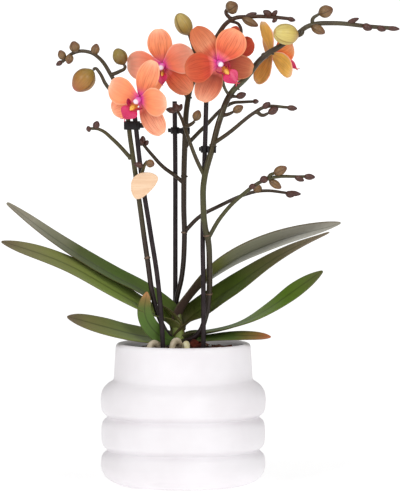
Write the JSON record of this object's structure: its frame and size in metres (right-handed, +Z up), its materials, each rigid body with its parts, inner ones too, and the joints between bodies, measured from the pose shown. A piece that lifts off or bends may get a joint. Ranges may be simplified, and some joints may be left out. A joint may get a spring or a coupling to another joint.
{
  "type": "potted moth orchid",
  "caption": "Moth orchid in flower on spikes clipped to canes, over strap leaves, in a clear grower pot inside a white pot with bulging rings.",
  "frame": {"origin": "middle of the flat foot that the outer pot stands on", "axes": "+Z up; the front of the plant, as pictured, faces -Y; +X to the right as seen from the front"},
  "size_m": [0.3268, 0.1362, 0.3957],
  "materials": {
    "white_ceramic": "matt white glaze over slip-cast earthenware",
    "clear_plastic": "thin clear moulded plastic",
    "bark": "coarse damp pine bark chips",
    "root": "pale grey felted aerial root",
    "crown": "smooth waxy green stem and leaf sheaths",
    "leaf": "thick waxy leaf, semi-gloss",
    "stem": "smooth olive brown flower spike",
    "bud": "smooth waxy bud",
    "black_plastic": "satin black plastic",
    "bare_wood": "plain sanded wood",
    "petal": "soft satin petal with fine veins",
    "lip": "velvety crimson lip",
    "column": "waxy pale pink column"
  },
  "bodies": {
    "root": {"bark": "bark", "bloom_1_column": "column", "bloom_1_lip": "lip", "bloom_1_petals": "petal", "bloom_2_column": "column", "bloom_2_lip": "lip", "bloom_2_petals": "petal", "bloom_3_column": "column", "bloom_3_lip": "lip", "bloom_3_petals": "petal", "bloom_4_column": "column", "bloom_4_lip": "lip", "bloom_4_petals": "petal", "bloom_5_column": "column", "bloom_5_lip": "lip", "bloom_5_petals": "petal", "bud_gold_left": "bud", "bud_gold_right": "bud", "bud_olive_left": "bud", "bud_olive_top": "bud", "cane_left": "black_plastic", "cane_middle": "black_plastic", "cane_right": "black_plastic", "clip_left": "black_plastic", "clip_middle": "black_plastic", "clip_right": "black_plastic", "crown": "crown", "grower_pot": "clear_plastic", "leaf_a": "leaf", "leaf_b": "leaf", "leaf_c": "leaf", "leaf_d": "leaf", "leaf_e": "leaf", "leaf_f": "leaf", "leaf_g": "leaf", "leaf_h": "leaf", "pot": "white_ceramic", "roots": "root", "spike_left": "stem", "spike_middle": "stem", "spike_right": "stem", "tag": "bare_wood", "tag_clip": "black_plastic"}
  },
  "joints": []
}
